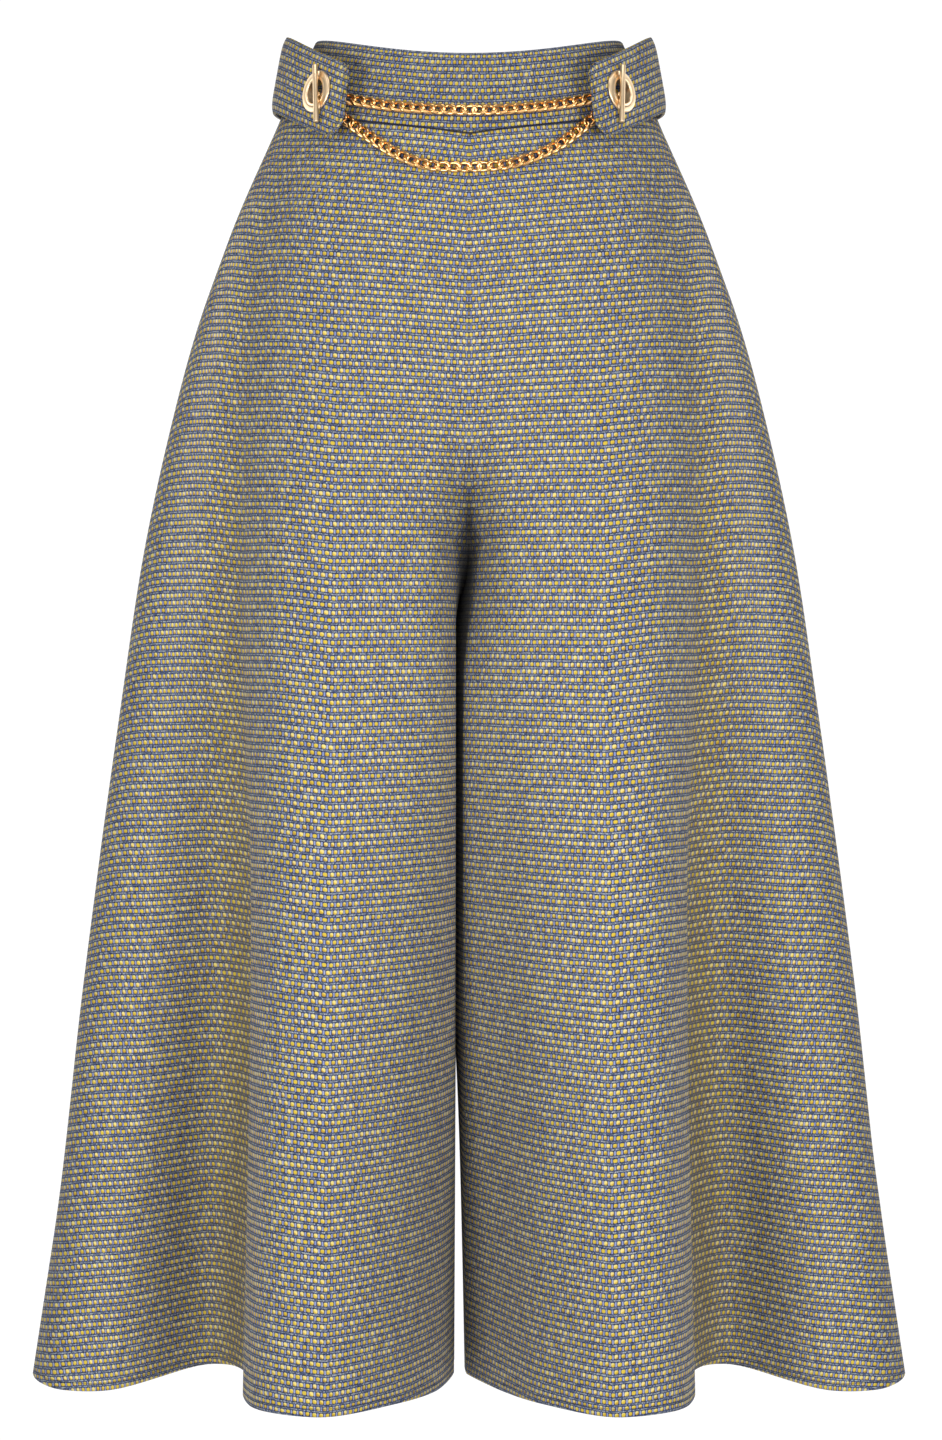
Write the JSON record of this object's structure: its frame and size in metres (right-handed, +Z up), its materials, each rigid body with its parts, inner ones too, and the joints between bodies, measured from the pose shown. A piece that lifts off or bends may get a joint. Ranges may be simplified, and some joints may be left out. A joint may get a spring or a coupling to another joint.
{
  "type": "wide-leg shorts",
  "caption": "Knee-length flared tweed shorts, hollow as worn, with a shaped waistband, a belt with ring eyelets and toggles, and chains that swag across the front.",
  "frame": {"origin": "at the waist, on the axis of the waistband, halfway up its height at the sides, where the wearer holds it", "axes": "+Z up towards the waist opening, -Y towards the front, +X towards the wearer's left leg"},
  "size_m": [0.576, 0.3646, 0.8832],
  "materials": {
    "tweed": "chunky basket tweed, slate blue and black with yellow wefts",
    "rose_gold": "polished warm rose gold plating"
  },
  "bodies": {
    "root": {"front_right": "tweed", "front_left": "tweed", "back_right": "tweed", "back_left": "tweed", "waistband_front": "tweed", "waistband_back": "tweed", "belt": "tweed", "eyelet_right": "rose_gold", "eyelet_left": "rose_gold", "toggle_right": "rose_gold", "toggle_left": "rose_gold", "chain_upper": "rose_gold", "chain_lower": "rose_gold"}
  },
  "joints": []
}
